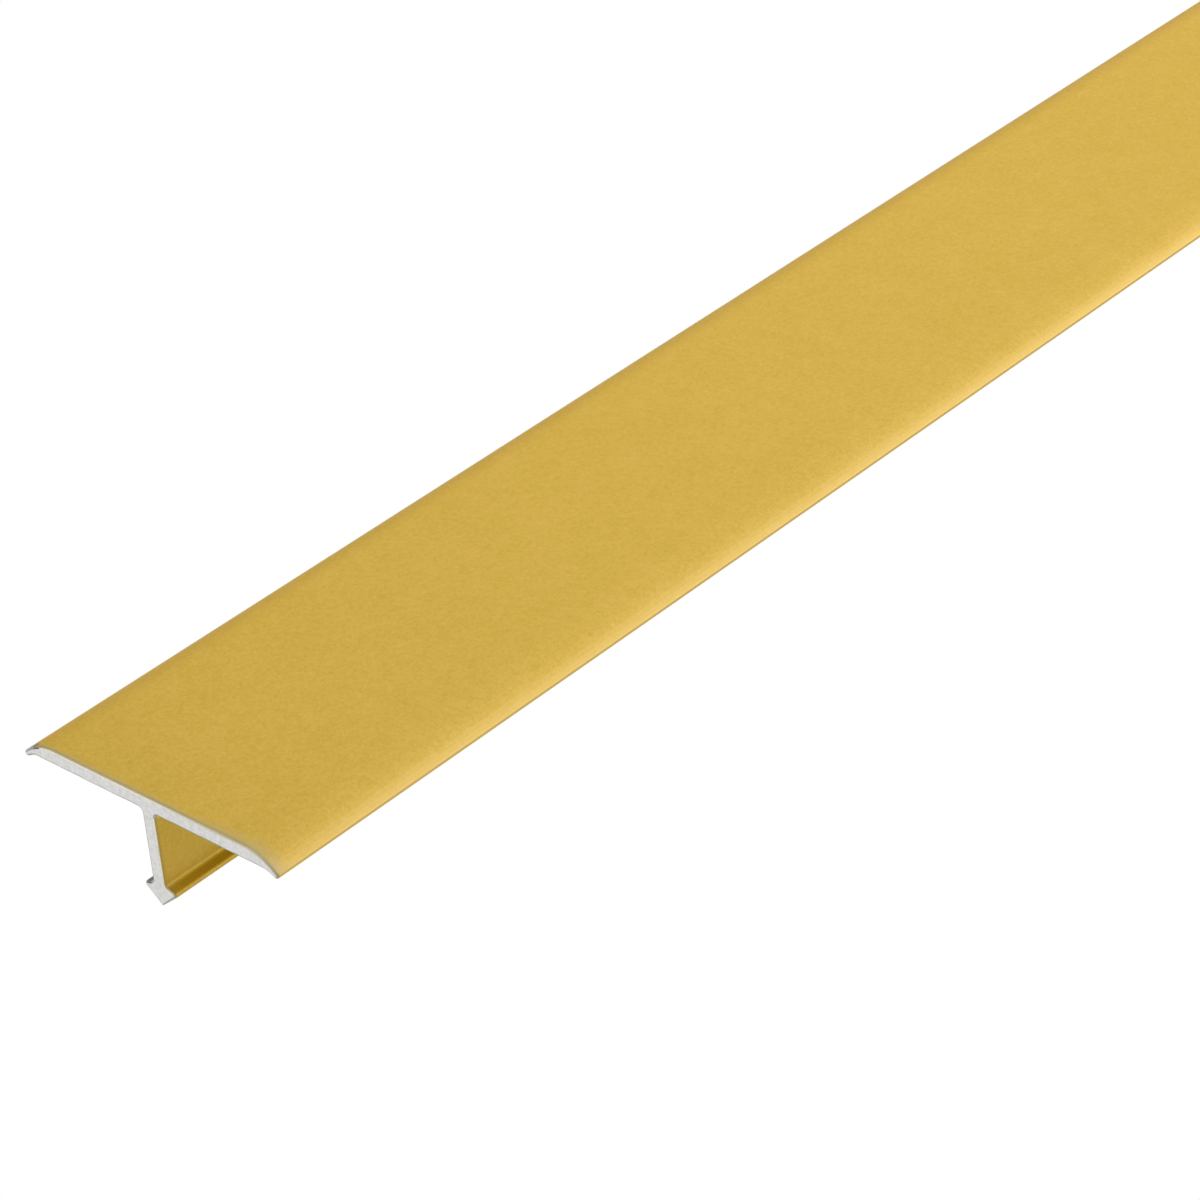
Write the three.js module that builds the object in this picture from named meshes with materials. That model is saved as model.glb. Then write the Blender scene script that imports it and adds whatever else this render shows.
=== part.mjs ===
// A T-section threshold strip: one length of extruded aluminium, gold anodised, with sawn ends.
//
// The strip lies along Y, X runs across its width and Z is up. All lengths are millimetres.
// The origin is at the middle of the strip, level with the finished floor. The lips of the cover
// touch z = 0, the cover's flat top is just above the floor, and the leg with its arrowhead foot
// hangs below it, in the joint between two floor coverings.
import * as THREE from "three";

// Driving dimensions: the whole strip.
const LENGTH = 900;
const WIDTH = 26;
const HEIGHT = 9.6;

// The cover: a flat plate whose edges bend down to two thin lips.
const COVER_THICKNESS = 1.27;
const LIP_DROP = 0.4; // how far a lip hangs below the plate's underside
const TOP_FLAT_WIDTH = 19.5;
const NOSE_RADIUS = 0.26;
const LIP_SLOPE = THREE.MathUtils.degToRad(29); // inner side of a lip, from the horizontal
const LIP_FILLET_RADIUS = 1.3;

// The leg and its foot: a V below, with a barb on each side that keys into the filler of the joint.
const LEG_THICKNESS = 1.3;
const LEG_ROOT_RADIUS = 0.35;
const FOOT_WIDTH = 3.1;
const FOOT_SLOPE = THREE.MathUtils.degToRad(40); // underside of the V, from the horizontal
const FOOT_TIP_RADIUS = 0.15;
const BARB_RADIUS = 0.26;
const LEDGE_SLOPE = THREE.MathUtils.degToRad(18); // top of a barb, falling away from the leg
const LEDGE_ROOT_RADIUS = 0.4;

// Each arc of the section is drawn as twice this many flats.
const ARC_DIVISIONS = 6;

const GOLD = 0xd8b04a;
const SATIN_ROUGHNESS = 0.42;

const QUARTER_TURN = Math.PI / 2;
const TOP_Z = LIP_DROP + COVER_THICKNESS;
const BOTTOM_Z = TOP_Z - HEIGHT;

// Adds the stretch of the section from the middle of the top to the underside of the cover.
function drawCover(path) {
  const noseX = WIDTH / 2 - NOSE_RADIUS;
  const flatX = TOP_FLAT_WIDTH / 2;
  // The shoulder arc leaves the flat top and meets the nose arc, both without a kink.
  const across = noseX - flatX;
  const down = TOP_Z - NOSE_RADIUS;
  const shoulderRadius = (across ** 2 + down ** 2 - NOSE_RADIUS ** 2) / (2 * (down - NOSE_RADIUS));
  const shoulderEnd = Math.atan2(shoulderRadius - down, across);
  const lipEnd = -QUARTER_TURN - LIP_SLOPE;

  path.moveTo(0, TOP_Z);
  path.lineTo(flatX, TOP_Z);
  path.absarc(flatX, TOP_Z - shoulderRadius, shoulderRadius, QUARTER_TURN, shoulderEnd, true);
  path.absarc(noseX, NOSE_RADIUS, NOSE_RADIUS, shoulderEnd, lipEnd, true);

  // The lip's inner side is a straight slope, filleted into the flat underside.
  const slopeX = noseX + NOSE_RADIUS * Math.cos(lipEnd);
  const slopeZ = NOSE_RADIUS + NOSE_RADIUS * Math.sin(lipEnd);
  const cornerX = slopeX - (LIP_DROP - slopeZ) / Math.tan(LIP_SLOPE);
  const filletX = cornerX - LIP_FILLET_RADIUS * Math.tan(LIP_SLOPE / 2);
  const filletStart = QUARTER_TURN - LIP_SLOPE;
  path.absarc(filletX, LIP_DROP - LIP_FILLET_RADIUS, LIP_FILLET_RADIUS, filletStart, QUARTER_TURN, false);
}

// Adds the stretch from the underside of the cover down the leg to the tip of the foot.
function drawLeg(path) {
  const legX = LEG_THICKNESS / 2;
  const rootX = legX + LEG_ROOT_RADIUS;
  path.absarc(rootX, LIP_DROP - LEG_ROOT_RADIUS, LEG_ROOT_RADIUS, QUARTER_TURN, Math.PI, false);

  // The V's face touches the round tip of the foot below and the round edge of the barb above.
  const faceNormal = FOOT_SLOPE - QUARTER_TURN;
  const tipZ = BOTTOM_Z + FOOT_TIP_RADIUS;
  const barbX = FOOT_WIDTH / 2 - BARB_RADIUS;
  const faceRun = barbX + (BARB_RADIUS - FOOT_TIP_RADIUS) * Math.cos(faceNormal);
  const faceRise = faceRun * Math.tan(FOOT_SLOPE);
  const barbZ = tipZ + faceRise - (BARB_RADIUS - FOOT_TIP_RADIUS) * Math.sin(faceNormal);

  // The ledge touches the barb's round edge and the fillet at the bottom of the leg.
  const ledgeNormal = QUARTER_TURN - LEDGE_SLOPE;
  const ledgeRootX = legX + LEDGE_ROOT_RADIUS;
  const ledgeX = barbX + BARB_RADIUS * Math.cos(ledgeNormal);
  const ledgeZ = barbZ + BARB_RADIUS * Math.sin(ledgeNormal);
  const contactX = ledgeRootX - LEDGE_ROOT_RADIUS * Math.cos(ledgeNormal);
  const contactZ = ledgeZ + (ledgeX - contactX) * Math.tan(LEDGE_SLOPE);
  const ledgeRootZ = contactZ + LEDGE_ROOT_RADIUS * Math.sin(ledgeNormal);

  path.absarc(ledgeRootX, ledgeRootZ, LEDGE_ROOT_RADIUS, Math.PI, Math.PI + ledgeNormal, false);
  path.absarc(barbX, barbZ, BARB_RADIUS, ledgeNormal, faceNormal, true);
  path.absarc(0, tipZ, FOOT_TIP_RADIUS, faceNormal, -QUARTER_TURN, true);
}

// The whole section in X and Z: the right half, and its mirror image back up to the top.
function section() {
  const half = new THREE.Path();
  drawCover(half);
  drawLeg(half);
  const right = half.getPoints(ARC_DIVISIONS);
  const left = right.slice(1, -1).reverse();
  return new THREE.Shape([...right, ...left.map((p) => new THREE.Vector2(-p.x, p.y))]);
}

// The strip: the section drawn out along Y, and sawn square at both ends.
function profile() {
  const geometry = new THREE.ExtrudeGeometry(section(), { depth: LENGTH, bevelEnabled: false });
  geometry.translate(0, 0, -LENGTH / 2);
  geometry.rotateX(QUARTER_TURN);
  const material = new THREE.MeshStandardMaterial({
    color: GOLD,
    roughness: SATIN_ROUGHNESS,
    metalness: 1,
  });
  const mesh = new THREE.Mesh(geometry, material);
  mesh.name = "t_profile";
  return mesh;
}

const thresholdStrip = new THREE.Group();
thresholdStrip.add(profile());

export default thresholdStrip;
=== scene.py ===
"""The look of a T-section threshold strip: gold anodised aluminium with bare sawn ends.

Everything is in metres and in the frame of the CAD model: X runs across the strip, Y along it and
Z up, with z = 0 at the level of the finished floor, on which the lips of the cover rest.
"""
import math

import bpy
from mathutils import Matrix, Vector, noise


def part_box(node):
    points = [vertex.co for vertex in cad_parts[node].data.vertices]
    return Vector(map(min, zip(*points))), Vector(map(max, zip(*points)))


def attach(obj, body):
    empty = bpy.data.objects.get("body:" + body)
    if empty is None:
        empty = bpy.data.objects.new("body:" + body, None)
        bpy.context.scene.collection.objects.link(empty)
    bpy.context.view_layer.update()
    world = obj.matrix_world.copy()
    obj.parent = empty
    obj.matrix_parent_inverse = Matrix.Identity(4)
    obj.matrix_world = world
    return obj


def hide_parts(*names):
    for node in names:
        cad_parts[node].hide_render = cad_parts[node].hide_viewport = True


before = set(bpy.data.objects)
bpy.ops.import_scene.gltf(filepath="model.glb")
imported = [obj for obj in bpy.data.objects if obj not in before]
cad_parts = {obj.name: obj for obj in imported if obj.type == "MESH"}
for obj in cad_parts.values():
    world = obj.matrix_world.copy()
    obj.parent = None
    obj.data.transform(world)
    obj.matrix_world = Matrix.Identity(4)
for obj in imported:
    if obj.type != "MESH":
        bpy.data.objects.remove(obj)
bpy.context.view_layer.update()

MM = 0.001
LOW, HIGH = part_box("t_profile")

# The section, with the driving dimensions of the CAD model.
WIDTH = HIGH.x - LOW.x
TOP_Z = HIGH.z
BOTTOM_Z = LOW.z
LIP_DROP = 0.4 * MM
TOP_FLAT_WIDTH = 19.5 * MM
NOSE_RADIUS = 0.26 * MM
LIP_SLOPE = math.radians(29)
LIP_FILLET_RADIUS = 1.3 * MM
LEG_THICKNESS = 1.3 * MM
LEG_ROOT_RADIUS = 0.35 * MM
FOOT_WIDTH = 3.1 * MM
FOOT_SLOPE = math.radians(40)
FOOT_TIP_RADIUS = 0.15 * MM
BARB_RADIUS = 0.26 * MM
LEDGE_SLOPE = math.radians(18)
LEDGE_ROOT_RADIUS = 0.4 * MM

# How finely the section and the length are divided.
ARC_STEP = math.radians(5)
FLAT_STEP = 0.9 * MM
RING_STEP = 9 * MM

# The rim of a sawn end: a small rounded edge, first bare metal and then the torn edge of the film.
RIM_RADIUS = 0.18 * MM
RIM_SHARE_OF_CORNER = 0.75
RIM_STEPS = 6
RIM_BARE_STEPS = 2
RIM_UNEVENNESS = 0.3
RIM_WAVE = 0.7 * MM
SMALLEST_TURN = 0.001  # in radians; an outline that turns less than this counts as straight

# How far in from a sawn end the film is marked. Everywhere there is a dull torn edge, full at the
# first depth and gone at the second. Then comes a greyed stretch that is narrow on the sides, wider
# on the tops and widest near the cover's +X edge. Faces that look towards -X, where the blade came
# out, are bared: the shoulder a little, the leg and its barb further in. Undersides are bared by the
# width of their burr. The bared stretches are painted the burr's grey, which is painted shade.
TORN_EDGE = (0.1 * MM, 0.28 * MM)
GREYED_ON_SIDES = 0.3 * MM
GREYED_ON_TOPS = 0.85 * MM
GREYED_NEAR_EDGE = 2.0 * MM
GREYED_WIDENS_AT = (4 * MM, 11 * MM)
BARED_ON_SHOULDER = 0.6 * MM
BARED_ON_LEG = 1.6 * MM
BARED_BELOW = 0.22 * MM

# How much those depths vary from place to place, and how gradually a bared stretch ends, both as
# shares of the depth.
DEPTHS_VARY = (0.85, 1.15)
BARED_STRETCH_ENDS = (0.85, 1.15)

# Which way a face looks, across the strip or up, where each look begins and where it is full. These
# are parts of a direction of length 1 in the plane of the section.
TOPS = (0.45, 0.55)
UNDERSIDES = (-0.2, -0.3)
# Sides of the lips that get a painted highlight.
LIP_HIGHLIGHT_SIDES = (0.5, 0.85)
# Tops of the barbs that get a painted tint of shaded light.
SHADE_TINTED_TOPS = (0.5, 0.85)
# Edges that are burred and painted with shade.
BURRED_AND_SHADED_EDGES = (-0.02, -0.08)

# The same for looks that differ by height: the first value is for the leg and foot, the second for
# the cover. A fade is the way from where a look begins to where it is full. The weight is how much
# looking towards -X counts beside looking up, where an edge is burred, with painted shade, or not.
BLADE_SIDE_BEGINS = (-0.2, -0.38)
BLADE_SIDE_FADE = 0.06
# Where the painted shade on a burr is deepest, and the fade from there to its palest.
DEEPEST_PAINTED_SHADE = (0.55, 0.42)
PAINTED_SHADE_FADE = 0.17
BLADE_SIDE_WEIGHT = (4.5, 3.0)

# How squarely a face looks along the strip where it begins to be the flat of the cut, and where it is.
FLAT_OF_CUT = (0.992, 0.999)

# The heights, and for the last the place across, between which one look turns into another.
LEG_TO_COVER = (-MM, 0)
FOOT_TO_LEG = (-2 * MM, -MM)
LEG_TO_LIPS = (-0.2 * MM, 0)
# Across this the rim's painted highlight dims.
RIM_HIGHLIGHT_DIMS_OVER = (0, 6 * MM)

# The sizes of the patterns in the metal and the film.
MARK_WANDER = 0.45 * MM
CLOUDS = 3 * MM
MOTTLE = 0.36 * MM
DIE_LINES = 0.35 * MM
BLADE_LINES = 0.35 * MM
SAW_GRAIN = 0.4 * MM

# How the lines are drawn out: the die's along the strip, the blade's upright.
DIE_LINE_SCALE = (1, 0.004, 1)
BLADE_LINE_SCALE = (1, 1, 0.1)

# The turn comes after the drawing out, so the blade's lines stay upright: it only picks which they are.
BLADE_LINE_TURN = (0, math.radians(24), 0)

# How deep those patterns are, and how rough the metal is between their lows and their highs.
MOTTLE_DEPTH = 0.008 * MM
DIE_LINE_DEPTH = 0.001 * MM
SAW_DEPTH = 0.004 * MM
FILM_ROUGHNESS = (0.42, 0.48)
CUT_ROUGHNESS = (0.44, 0.54)

# The middle part of the values that a noise node gives, and of two kinds of noise added together.
NOISE_RANGE = (0.3, 0.7)
FILM_TONES = (0.36, 0.64)
CUT_TONES = (0.38, 0.62)

# How much the clouds count beside the mottle, and the grain beside the blade's lines.
CLOUD_SHARE = 0.22
GRAIN_SHARE = 0.7

QUARTER_TURN = math.pi / 2


def arc(centre_x, centre_z, radius, start, end):
    """Points on an arc, both ends included."""
    count = max(2, math.ceil(abs(end - start) / ARC_STEP))
    angles = [start + (end - start) * i / count for i in range(count + 1)]
    return [(centre_x + radius * math.cos(a), centre_z + radius * math.sin(a)) for a in angles]


def cover_points():
    """The right half of the cover, from the middle of its top to its underside near the leg."""
    nose_x = WIDTH / 2 - NOSE_RADIUS
    flat_x = TOP_FLAT_WIDTH / 2
    across = nose_x - flat_x
    down = TOP_Z - NOSE_RADIUS
    shoulder = (across**2 + down**2 - NOSE_RADIUS**2) / (2 * (down - NOSE_RADIUS))
    shoulder_end = math.atan2(shoulder - down, across)
    lip_end = -QUARTER_TURN - LIP_SLOPE
    slope_x = nose_x + NOSE_RADIUS * math.cos(lip_end)
    slope_z = NOSE_RADIUS + NOSE_RADIUS * math.sin(lip_end)
    corner_x = slope_x - (LIP_DROP - slope_z) / math.tan(LIP_SLOPE)
    fillet_x = corner_x - LIP_FILLET_RADIUS * math.tan(LIP_SLOPE / 2)
    fillet_start = QUARTER_TURN - LIP_SLOPE
    return [
        (0, TOP_Z),
        *arc(flat_x, TOP_Z - shoulder, shoulder, QUARTER_TURN, shoulder_end),
        *arc(nose_x, NOSE_RADIUS, NOSE_RADIUS, shoulder_end, lip_end)[1:],
        *arc(fillet_x, LIP_DROP - LIP_FILLET_RADIUS, LIP_FILLET_RADIUS, fillet_start, QUARTER_TURN),
    ]


def leg_points():
    """The right half of the leg and foot, from the fillet under the cover to the tip of the V."""
    leg_x = LEG_THICKNESS / 2
    face_normal = FOOT_SLOPE - QUARTER_TURN
    tip_z = BOTTOM_Z + FOOT_TIP_RADIUS
    barb_x = FOOT_WIDTH / 2 - BARB_RADIUS
    radius_step = BARB_RADIUS - FOOT_TIP_RADIUS
    face_run = barb_x + radius_step * math.cos(face_normal)
    barb_z = tip_z + face_run * math.tan(FOOT_SLOPE) - radius_step * math.sin(face_normal)
    ledge_normal = QUARTER_TURN - LEDGE_SLOPE
    root_x = leg_x + LEDGE_ROOT_RADIUS
    ledge_x = barb_x + BARB_RADIUS * math.cos(ledge_normal)
    ledge_z = barb_z + BARB_RADIUS * math.sin(ledge_normal)
    contact_x = root_x - LEDGE_ROOT_RADIUS * math.cos(ledge_normal)
    contact_z = ledge_z + (ledge_x - contact_x) * math.tan(LEDGE_SLOPE)
    root_z = contact_z + LEDGE_ROOT_RADIUS * math.sin(ledge_normal)
    top_x = leg_x + LEG_ROOT_RADIUS
    return [
        *arc(top_x, LIP_DROP - LEG_ROOT_RADIUS, LEG_ROOT_RADIUS, QUARTER_TURN, math.pi),
        *arc(root_x, root_z, LEDGE_ROOT_RADIUS, math.pi, math.pi + ledge_normal),
        *arc(barb_x, barb_z, BARB_RADIUS, ledge_normal, face_normal),
        *arc(0, tip_z, FOOT_TIP_RADIUS, face_normal, -QUARTER_TURN),
    ]


def with_short_edges(points):
    """The same closed outline, with its long straight stretches divided."""
    divided = []
    for here, following in zip(points, points[1:] + points[:1]):
        pieces = max(1, math.ceil(math.dist(here, following) / FLAT_STEP))
        for i in range(pieces):
            t = i / pieces
            divided.append(tuple(a + (b - a) * t for a, b in zip(here, following)))
    return divided


def section_outline():
    """The whole section, clockwise as seen along +Y."""
    right = cover_points() + leg_points()
    left = [(-x, z) for x, z in reversed(right[1:-1])]
    return with_short_edges(right + left)


def outward_normals(outline):
    """One unit normal for each point of a clockwise outline."""
    normals = []
    for before, after in zip(outline[-1:] + outline[:-1], outline[1:] + outline[:1]):
        along = Vector((after[0] - before[0], after[1] - before[1])).normalized()
        normals.append(Vector((-along.y, along.x)))
    return normals


def corner_radius(before, here, after):
    """The radius of a clockwise outline's turn: infinite where it is straight or hollow."""
    first = Vector((here[0] - before[0], here[1] - before[1]))
    second = Vector((after[0] - here[0], after[1] - here[1]))
    turn = math.asin((first.y * second.x - first.x * second.y) / (first.length * second.length))
    if turn < SMALLEST_TURN:
        return math.inf
    return (first.length + second.length) / 2 / turn


def rim_radii(outline, seed):
    """The radius of the rounded edge at each point, a little uneven, and small at sharp corners."""
    around = list(zip(outline[-1:] + outline[:-1], outline, outline[1:] + outline[:1]))
    corners = [corner_radius(*three) for three in around]
    radii = []
    for i, (x, z) in enumerate(outline):
        wave = noise.noise(Vector((x / RIM_WAVE, z / RIM_WAVE, seed)))
        room = min(corners[i - 1], corners[i], corners[(i + 1) % len(corners)])
        radii.append(min(RIM_RADIUS, RIM_SHARE_OF_CORNER * room) * (1 + RIM_UNEVENNESS * wave))
    return radii


def rim_rings(outline, normals, end_y, inwards, seed):
    """Rings of points round one end, from the flat of the cut to the side of the strip."""
    radii = rim_radii(outline, seed)
    rings = []
    for step in range(RIM_STEPS + 1):
        angle = QUARTER_TURN * step / RIM_STEPS
        ring = []
        for (x, z), normal, radius in zip(outline, normals, radii):
            inset = radius * (1 - math.sin(angle))
            depth = radius * (1 - math.cos(angle))
            ring.append((x - normal.x * inset, end_y + inwards * depth, z - normal.y * inset))
        rings.append(ring)
    return rings


def strip_rings():
    """Rings of points round the section, from the near cut to the far one."""
    outline = section_outline()
    normals = outward_normals(outline)
    near_rings = rim_rings(outline, normals, LOW.y, 1, seed=1.0)
    far_rings = rim_rings(outline, normals, HIGH.y, -1, seed=2.0)
    steps = round((HIGH.y - LOW.y) / RING_STEP)
    middle = [
        [(x, LOW.y + (HIGH.y - LOW.y) * i / steps, z) for x, z in outline]
        for i in range(1, steps)
    ]
    return near_rings + middle + far_rings[::-1]


def strip_faces(ring_count, count):
    """The faces between the rings and over both cuts, and whether each one is bare metal."""
    faces = []
    is_bare = []
    last = ring_count - 2
    for r in range(ring_count - 1):
        bare = r < RIM_BARE_STEPS or r > last - RIM_BARE_STEPS
        for i in range(count):
            j = (i + 1) % count
            faces.append((r * count + i, r * count + j, (r + 1) * count + j, (r + 1) * count + i))
            is_bare.append(bare)
    far_start = (ring_count - 1) * count
    faces.append(tuple(reversed(range(count))))
    faces.append(tuple(far_start + i for i in range(count)))
    is_bare += [True, True]
    return faces, is_bare


def strip_mesh():
    """One closed mesh: both rims, the length between them, and a flat cut at each end."""
    rings = strip_rings()
    vertices = [point for ring in rings for point in ring]
    faces, is_bare = strip_faces(len(rings), len(rings[0]))
    mesh = bpy.data.meshes.new("t_profile_look")
    mesh.from_pydata(vertices, [], faces)
    for polygon, bare in zip(mesh.polygons, is_bare):
        polygon.material_index = int(bare)
        polygon.use_smooth = True
    mesh.polygons[-1].use_smooth = False
    mesh.polygons[-2].use_smooth = False
    mesh.validate()
    return mesh


class Nodes:
    """A node tree, with short calls for the nodes that are used here."""

    def __init__(self, owner):
        owner.use_nodes = True
        self.tree = owner.node_tree
        self.tree.nodes.clear()

    def add(self, kind, **settings):
        node = self.tree.nodes.new(kind)
        for name, value in settings.items():
            setattr(node, name, value)
        return node

    def link(self, source, target):
        self.tree.links.new(source, target)

    def feed(self, target, value):
        if isinstance(value, bpy.types.NodeSocket):
            self.link(value, target)
        else:
            target.default_value = value

    def math(self, operation, *values, clamp=False):
        node = self.add("ShaderNodeMath", operation=operation, use_clamp=clamp)
        for socket, value in zip(node.inputs, values):
            self.feed(socket, value)
        return node.outputs[0]

    def weigh(self, first, share, second):
        """The sum of two values: the first counts for its share and the second for the rest."""
        rest = self.math("MULTIPLY", second, 1 - share)
        return self.math("ADD", self.math("MULTIPLY", first, share), rest)

    def remap(self, value, low, high, to_low, to_high):
        node = self.add("ShaderNodeMapRange")
        names = ("Value", "From Min", "From Max", "To Min", "To Max")
        for name, setting in zip(names, (value, low, high, to_low, to_high)):
            self.feed(node.inputs[name], setting)
        return node.outputs["Result"]

    def mix_colour(self, factor, first, second, blend="MIX"):
        node = self.add("ShaderNodeMix", data_type="RGBA", blend_type=blend)
        colours = [s for s in node.inputs if s.type == "RGBA"]
        self.feed(node.inputs["Factor"], factor)
        self.feed(colours[0], first)
        self.feed(colours[1], second)
        return [s for s in node.outputs if s.type == "RGBA"][0]

    def split(self, vector):
        """The X, Y and Z of a vector."""
        node = self.add("ShaderNodeSeparateXYZ")
        self.link(vector, node.inputs[0])
        return node.outputs["X"], node.outputs["Y"], node.outputs["Z"]

    def place(self, scale=(1, 1, 1), turn=(0, 0, 0)):
        """Object coordinates, which here are the CAD frame in metres, scaled and then turned."""
        where = self.add("ShaderNodeTexCoord")
        mapping = self.add("ShaderNodeMapping")
        mapping.inputs["Rotation"].default_value = turn
        mapping.inputs["Scale"].default_value = scale
        self.link(where.outputs["Object"], mapping.inputs["Vector"])
        return mapping.outputs["Vector"]

    def noise(self, vector, size, detail=2.0, roughness=0.5):
        """Noise whose largest features are about size metres across."""
        node = self.add("ShaderNodeTexNoise")
        node.inputs["Scale"].default_value = 1 / size
        node.inputs["Detail"].default_value = detail
        node.inputs["Roughness"].default_value = roughness
        self.link(vector, node.inputs["Vector"])
        return node.outputs[0]

    def bump(self, height, distance, normal=None):
        node = self.add("ShaderNodeBump")
        node.inputs["Distance"].default_value = distance
        self.link(height, node.inputs["Height"])
        if normal is not None:
            self.link(normal, node.inputs["Normal"])
        return node.outputs["Normal"]

    def surface(self, **inputs):
        shader = self.add("ShaderNodeBsdfPrincipled")
        for name, value in inputs.items():
            self.feed(shader.inputs[name.replace("_", " ")], value)
        output = self.add("ShaderNodeOutputMaterial")
        self.link(shader.outputs["BSDF"], output.inputs["Surface"])


def strip_place(n, here):
    """Each point's x and z, and its distance from the nearer sawn end."""
    x, y, z = n.split(here)
    middle_y = (LOW.y + HIGH.y) / 2
    from_middle = n.math("ABSOLUTE", n.math("SUBTRACT", y, middle_y))
    return x, z, n.math("SUBTRACT", (HIGH.y - LOW.y) / 2, from_middle)


def facing_in_section(n):
    """How far a face looks along the strip, and the X and Z of where it looks in the section.

    X and Z have length 1 together. On the flat of a cut, where the value just over 1 keeps the root
    above zero, they are zero.
    """
    across, along, up = n.split(n.add("ShaderNodeNewGeometry").outputs["True Normal"])
    along = n.math("ABSOLUTE", along)
    in_section = n.math("SQRT", n.math("SUBTRACT", 1.0001, n.math("MULTIPLY", along, along)))
    return along, n.math("DIVIDE", across, in_section), n.math("DIVIDE", up, in_section)


def by_height(n, z, on_leg, on_cover):
    """A value that is one thing on the leg and foot and another on the cover."""
    return n.remap(z, *LEG_TO_COVER, on_leg, on_cover)


def burr_with_painted_shade(n, z, across, up):
    """The grey of a burr, with painted shade: dark where it looks up, paler where it looks towards -X
    or down.
    """
    # Both greys are painted shade on the burr: the dark one a painted shadow, the pale one a lighter
    # painted shade.
    burr_in_deep_painted_shade = (0.175, 0.18, 0.18, 1)
    burr_in_pale_painted_shade = (0.5, 0.52, 0.56, 1)
    leaning = n.math("MINIMUM", n.math("ADD", across, up), up)
    darkest = by_height(n, z, *DEEPEST_PAINTED_SHADE)
    palest = n.math("SUBTRACT", darkest, PAINTED_SHADE_FADE)
    return n.mix_colour(n.remap(leaning, darkest, palest, 0, 1), burr_in_deep_painted_shade, burr_in_pale_painted_shade)


def grey_film(n, colour, x, from_end, faces_up):
    """The film, greyed most at the sawn end and not at all at the far side of the greyed stretch."""
    greyed_film = (0.54, 0.44, 0.17, 1)
    on_top = n.remap(x, *GREYED_WIDENS_AT, GREYED_ON_TOPS, GREYED_NEAR_EDGE)
    width = n.remap(faces_up, 0, 1, GREYED_ON_SIDES, on_top)
    left = n.math("SUBTRACT", 1.0, n.math("DIVIDE", from_end, width), clamp=True)
    return n.mix_colour(n.math("MULTIPLY", left, left), colour, greyed_film)


def tear_film(n, colour, from_end, faces_up):
    """The film, with a dull torn edge."""
    torn_on_tops = (0.38, 0.32, 0.17, 1)
    torn_on_sides = (0.49, 0.345, 0.08, 1)
    torn = n.remap(from_end, *TORN_EDGE, 1, 0)
    return n.mix_colour(torn, colour, n.mix_colour(faces_up, torn_on_sides, torn_on_tops))


def bare_film(n, colour, z, from_end, across, up):
    """The film, with its bared stretches on faces that look towards -X or down, in the burr's painted
    shade.
    """
    against_gold_tint = (1.08, 1.11, 1.18, 1)
    begins = by_height(n, z, *BLADE_SIDE_BEGINS)
    full = n.math("SUBTRACT", begins, BLADE_SIDE_FADE)
    blade_side = n.remap(across, begins, full, 0, 1)
    below = n.remap(up, *UNDERSIDES, 0, 1)
    length = by_height(n, z, BARED_ON_LEG, BARED_ON_SHOULDER)
    length = n.remap(below, 0, 1, length, BARED_BELOW)
    near = n.remap(n.math("DIVIDE", from_end, length), *BARED_STRETCH_ENDS, 1, 0)
    bared_and_shaded = n.math("MULTIPLY", n.math("MAXIMUM", blade_side, below), near)
    # The bared stretches take the burr's grey, which is painted shade.
    burr_with_shade = n.mix_colour(1.0, burr_with_painted_shade(n, z, across, up), against_gold_tint, blend="MULTIPLY")
    return n.mix_colour(bared_and_shaded, colour, burr_with_shade)


def mark_film(n, here, colour):
    """The film's colour, with what the saw did to it near the ends, and painted shade where it is
    bared.
    """
    x, z, from_end = strip_place(n, here)
    _, across, up = facing_in_section(n)
    wander = n.remap(n.noise(here, MARK_WANDER), *NOISE_RANGE, *DEPTHS_VARY)
    from_end = n.math("DIVIDE", from_end, wander)
    faces_up = n.remap(up, *TOPS, 0, 1)
    colour = grey_film(n, colour, x, from_end, faces_up)
    colour = tear_film(n, colour, from_end, faces_up)
    return bare_film(n, colour, z, from_end, across, up)


def vary_film(n, here, colour):
    """The film's colour, with a paler painted highlight on the lips' sides and a greener painted tint
    of shaded light on the barbs' tops.
    """
    lip_highlight_gold = (0.77, 0.55, 0.135, 1)
    shade_tinted_gold = (0.72, 0.61, 0.075, 1)
    _, z, _ = strip_place(n, here)
    _, across, up = facing_in_section(n)
    # The paler, bluer gold on the lips' sides is a painted highlight.
    faces_sideways = n.remap(n.math("ABSOLUTE", across), *LIP_HIGHLIGHT_SIDES, 0, 1)
    on_cover = n.remap(z, *LEG_TO_LIPS, 0, 1)
    colour = n.mix_colour(n.math("MULTIPLY", faces_sideways, on_cover), colour, lip_highlight_gold)
    # The greener gold on the barbs' tops is a painted tint of the light in the shade under the cover.
    faces_up = n.remap(up, *SHADE_TINTED_TOPS, 0, 1)
    on_foot = n.remap(z, *FOOT_TO_LEG, 1, 0)
    return n.mix_colour(n.math("MULTIPLY", faces_up, on_foot), colour, shade_tinted_gold)


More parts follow.
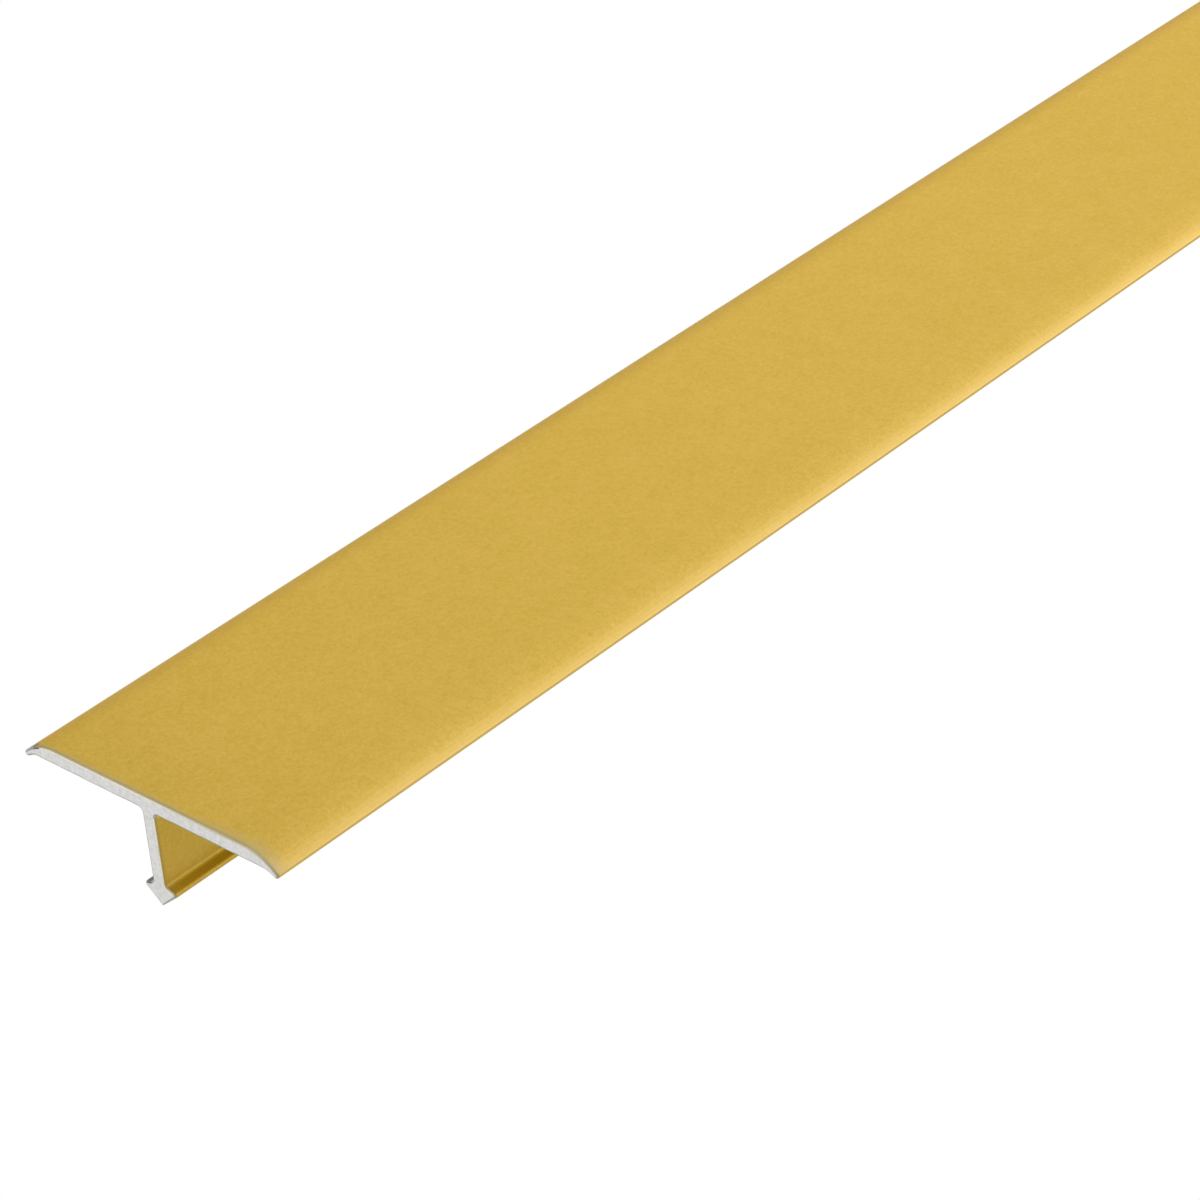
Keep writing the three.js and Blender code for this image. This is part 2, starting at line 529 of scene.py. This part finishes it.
def gold_anodising():
    """Satin gold film over blasted metal, greyed and torn where the saw went through it, with painted
    highlight and shade.
    """
    material = bpy.data.materials.new("gold_anodising")
    n = Nodes(material)
    here = n.place()
    gold = (0.716, 0.482, 0.084, 1)
    deep_gold = (0.599, 0.396, 0.038, 1)

    # The blasted metal under the film gives a fine mottle, with faint clouds some millimetres wide.
    clouds = n.noise(here, CLOUDS, detail=3.0, roughness=0.9)
    mottle = n.noise(here, MOTTLE, detail=3.0, roughness=1.0)
    tone = n.weigh(clouds, CLOUD_SHARE, mottle)
    colour = n.mix_colour(n.remap(tone, *FILM_TONES, 0, 1), deep_gold, gold)
    colour = mark_film(n, here, vary_film(n, here, colour))

    # Under the mottle lie the faint lines that the extrusion die left along the strip.
    die_lines = n.noise(n.place(scale=DIE_LINE_SCALE), DIE_LINES)
    normal = n.bump(die_lines, DIE_LINE_DEPTH)
    normal = n.bump(mottle, MOTTLE_DEPTH, normal)
    n.surface(
        Base_Color=colour,
        Metallic=1.0,
        Specular_Tint=(0.9, 0.7, 0.25, 1),
        Roughness=n.remap(mottle, *NOISE_RANGE, *FILM_ROUGHNESS),
        Normal=normal,
        Coat_Weight=0.35,
        Coat_Roughness=0.25,
        Coat_IOR=1.5,
    )
    return material


def rim_colour(n, here, across, up):
    """The rounded edge of a cut: bare metal with a cream painted highlight, dimmer towards +X, and a
    burr on its edges.

    The burr is on the edges that look down or towards -X, where the blade came out. Its grey is painted
    shade.
    """
    cream_highlight_edge = (0.97, 0.93, 0.79, 1)
    dimmer_highlight_edge = (0.74, 0.7, 0.58, 1)
    x, z, _ = strip_place(n, here)
    # The cream tint is a painted highlight, dimmed towards +X.
    colour = n.mix_colour(n.remap(x, *RIM_HIGHLIGHT_DIMS_OVER, 0, 1), cream_highlight_edge, dimmer_highlight_edge)
    away_from_blade = n.math("MULTIPLY_ADD", across, by_height(n, z, *BLADE_SIDE_WEIGHT), up)
    # The burred edges are painted the burr's grey, which is painted shade.
    burred_and_shaded = n.remap(n.math("MINIMUM", away_from_blade, up), *BURRED_AND_SHADED_EDGES, 0, 1)
    return n.mix_colour(burred_and_shaded, colour, burr_with_painted_shade(n, z, across, up))


def sawn_aluminium():
    """Bare aluminium with the fine upright lines of a saw blade, a painted highlight on its rounded
    edge, and a dull burr with painted shade.
    """
    material = bpy.data.materials.new("sawn_aluminium")
    n = Nodes(material)
    here = n.place()
    bright = (0.985, 0.99, 1.0, 1)
    dull = (0.82, 0.825, 0.86, 1)
    drawn_out = n.place(scale=BLADE_LINE_SCALE, turn=BLADE_LINE_TURN)
    blade_lines = n.noise(drawn_out, BLADE_LINES, detail=3.0)
    grain = n.noise(here, SAW_GRAIN, roughness=0.9)
    tone = n.weigh(grain, GRAIN_SHARE, blade_lines)
    cut_colour = n.mix_colour(n.remap(tone, *CUT_TONES, 0, 1), dull, bright)
    along, across, up = facing_in_section(n)
    flat_of_cut = n.remap(along, *FLAT_OF_CUT, 0, 1)
    colour = n.mix_colour(flat_of_cut, rim_colour(n, here, across, up), cut_colour)
    normal = n.bump(blade_lines, SAW_DEPTH)
    normal = n.bump(grain, SAW_DEPTH, normal)
    n.surface(
        Base_Color=colour,
        Metallic=1.0,
        Roughness=n.remap(grain, *NOISE_RANGE, *CUT_ROUGHNESS),
        Normal=normal,
    )
    return material


def build_strip():
    """The strip's look, which rides on the one body and stands for its one CAD node."""
    strip = bpy.data.objects.new("t_profile_look", strip_mesh())
    bpy.context.scene.collection.objects.link(strip)
    strip.data.materials.append(gold_anodising())
    strip.data.materials.append(sawn_aluminium())
    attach(strip, "root")
    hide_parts("t_profile")


# The stage: a softly glowing pale floor, like a light table, in a studio with a few soft lights.
# The camera sees both as plain white.
FLOOR_SIZE = 40.0
FLOOR_GLOW = (0.71, 0.7, 0.653, 1)
PLAIN_WHITE = (1, 1, 1, 1)
ROOM_LIGHT = (0.66, 0.66, 0.7)
NEUTRAL = (1.0, 1.0, 1.0)
DAYLIGHT = (1.0, 1.0, 1.25)
SKYLIGHT = (1.0, 1.0, 1.7)

# Each soft light: its azimuth and elevation in degrees, how sharply it falls off, its strength
# and its tint. Azimuth is measured from +X towards +Y.
SOFT_LIGHTS = (
    (70, 5, 26, 1.0, SKYLIGHT),
    (95, 5, 26, 0.7, SKYLIGHT),
    (20, 20, 26, 0.3, SKYLIGHT),
    (45, 20, 26, 0.8, SKYLIGHT),
    (70, 20, 26, 1.0, SKYLIGHT),
    (20, 50, 26, 0.55, SKYLIGHT),
    (70, 50, 26, 0.45, SKYLIGHT),
    (95, 35, 26, 0.37, DAYLIGHT),
    (120, 35, 26, 0.6, DAYLIGHT),
    (135, 15, 26, 0.32, NEUTRAL),
    (270, 70, 20, 1.0, NEUTRAL),
    (310, 30, 8, 0.3, NEUTRAL),
    (225, 35, 8, 1.1, NEUTRAL),
)


def white_for_camera(n, light):
    """The given light for the strip to be lit by, and plain white for the camera to see."""
    light_path = n.add("ShaderNodeLightPath")
    return n.mix_colour(light_path.outputs["Is Camera Ray"], light, PLAIN_WHITE)


def pale_floor():
    """A surface that glows softly and evenly."""
    material = bpy.data.materials.new("pale_floor")
    n = Nodes(material)
    glow = n.add("ShaderNodeEmission")
    n.link(white_for_camera(n, FLOOR_GLOW), glow.inputs["Color"])
    output = n.add("ShaderNodeOutputMaterial")
    n.link(glow.outputs[0], output.inputs["Surface"])
    return material


def build_floor():
    """A flat square that the foot of the strip stands on."""
    half = FLOOR_SIZE / 2
    corners = [(-half, -half), (half, -half), (half, half), (-half, half)]
    mesh = bpy.data.meshes.new("floor")
    mesh.from_pydata([(x, y, BOTTOM_Z) for x, y in corners], [], [(0, 1, 2, 3)])
    floor = bpy.data.objects.new("floor", mesh)
    bpy.context.scene.collection.objects.link(floor)
    mesh.materials.append(pale_floor())


def soft_light(n, direction, azimuth, elevation, sharpness, strength, tint):
    """A round soft light in the room's wall, brightest at its middle."""
    azimuth = math.radians(azimuth)
    elevation = math.radians(elevation)
    middle = n.add("ShaderNodeVectorMath", operation="DOT_PRODUCT")
    n.link(direction, middle.inputs[0])
    middle.inputs[1].default_value = (
        math.cos(elevation) * math.cos(azimuth),
        math.cos(elevation) * math.sin(azimuth),
        math.sin(elevation),
    )
    facing = n.math("MAXIMUM", middle.outputs["Value"], 0.0)
    brightness = n.math("MULTIPLY", n.math("POWER", facing, sharpness), strength)
    light = n.add("ShaderNodeVectorMath", operation="SCALE")
    light.inputs[0].default_value = tint
    n.link(brightness, light.inputs["Scale"])
    return light.outputs["Vector"]


def build_room():
    """A pale room with soft lights in its walls and ceiling."""
    world = bpy.data.worlds.new("room")
    bpy.context.scene.world = world
    n = Nodes(world)
    direction = n.add("ShaderNodeTexCoord").outputs["Generated"]
    total = n.add("ShaderNodeCombineXYZ")
    for socket, value in zip(total.inputs, ROOM_LIGHT):
        socket.default_value = value
    light = total.outputs[0]
    for setting in SOFT_LIGHTS:
        both = n.add("ShaderNodeVectorMath", operation="ADD")
        n.link(light, both.inputs[0])
        n.link(soft_light(n, direction, *setting), both.inputs[1])
        light = both.outputs["Vector"]
    background = n.add("ShaderNodeBackground")
    n.link(white_for_camera(n, light), background.inputs["Color"])
    output = n.add("ShaderNodeOutputWorld")
    n.link(background.outputs[0], output.inputs["Surface"])


# The camera, placed from the middle of the near end at floor level.
CAMERA_OFFSET = Vector((0.19545, -0.15612, 0.17545))
VIEW_AZIMUTH = math.radians(43.755)
VIEW_ELEVATION = math.radians(32.907)
VIEW_ROLL = math.radians(-4.81)
SENSOR_MM = 36.0
LENS_MM = 128.34


def build_camera():
    """A long lens at the photo's viewing angle, without depth of field."""
    data = bpy.data.cameras.new("camera")
    data.sensor_width = SENSOR_MM
    data.lens = LENS_MM
    data.clip_start = 0.01
    data.clip_end = 100.0
    camera = bpy.data.objects.new("camera", data)
    bpy.context.scene.collection.objects.link(camera)
    turn = Matrix.Rotation(VIEW_AZIMUTH, 3, "Z")
    tilt = Matrix.Rotation(QUARTER_TURN - VIEW_ELEVATION, 3, "X")
    roll = Matrix.Rotation(VIEW_ROLL, 3, "Z")
    camera.location = Vector((0, LOW.y, 0)) + CAMERA_OFFSET
    camera.rotation_euler = (turn @ tilt @ roll).to_euler()
    bpy.context.scene.camera = camera


build_strip()
build_floor()
build_room()
build_camera()
bpy.context.scene.view_settings.view_transform = "Standard"
